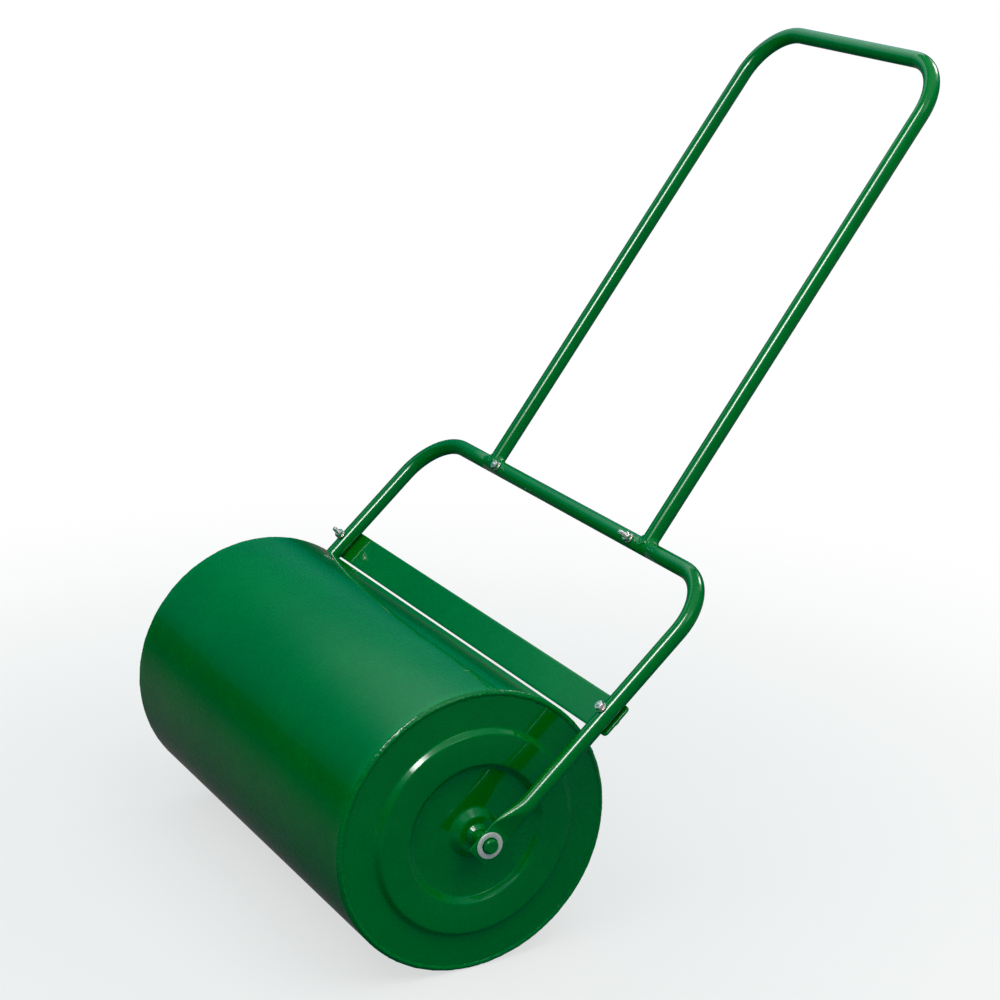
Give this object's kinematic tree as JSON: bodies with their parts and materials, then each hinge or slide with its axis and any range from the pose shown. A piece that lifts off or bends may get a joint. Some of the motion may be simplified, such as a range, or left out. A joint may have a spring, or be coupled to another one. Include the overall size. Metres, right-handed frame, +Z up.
{
  "type": "lawn roller",
  "caption": "Hand-pushed lawn roller: a steel drum with pressed ends turns on its axle in a bent tube frame with a tall loop handle, a scraper strip and a filler plug.",
  "frame": {"origin": "on the ground, under the middle of the drum", "axes": "+X along the drum's axis, +Y back towards the person who pushes, +Z up"},
  "size_m": [0.665, 0.8372, 0.9192],
  "materials": {
    "green_paint": "glossy enamel over steel, slightly wavy",
    "weld_paint": "glossy enamel over a lumpy weld bead",
    "zinc": "bright zinc plate",
    "gasket_rubber": "matt black rubber",
    "plug_plastic": "satin black plastic"
  },
  "bodies": {
    "frame": {"arm_left": "green_paint", "arm_right": "green_paint", "axle_washer_left": "zinc", "axle_washer_right": "zinc", "crossbar_bolt_left": "zinc", "crossbar_bolt_right": "zinc", "crossbar_nut_left": "zinc", "crossbar_nut_right": "zinc", "crossbar_tube": "green_paint", "crossbar_washer_left": "zinc", "crossbar_washer_right": "zinc", "handle_tube": "green_paint", "handle_weld_left": "weld_paint", "handle_weld_right": "weld_paint", "scraper_bolt_left": "zinc", "scraper_bolt_right": "zinc", "scraper_nut_left": "zinc", "scraper_nut_right": "zinc", "scraper_plate": "green_paint", "scraper_washer_left": "zinc", "scraper_washer_right": "zinc"},
    "drum": {"axle_rod": "green_paint", "axle_weld_left": "weld_paint", "axle_weld_right": "weld_paint", "drum_shell": "green_paint", "end_disc_left": "green_paint", "end_disc_right": "green_paint", "filler_socket": "green_paint", "rim_weld_left": "weld_paint", "rim_weld_right": "weld_paint"},
    "filler_cap": {"filler_plug": "plug_plastic", "filler_gasket": "gasket_rubber"}
  },
  "joints": [
    {"name": "drum_spin", "type": "hinge", "parent": "frame", "child": "drum", "pos_m": [0, 0, 0.16], "axis": [1, 0, 0], "continuous": true},
    {"name": "filler_cap_out", "type": "slide", "parent": "drum", "child": "filler_cap", "axis": [-1, 0, 0], "range_m": [0, 0.025]}
  ]
}
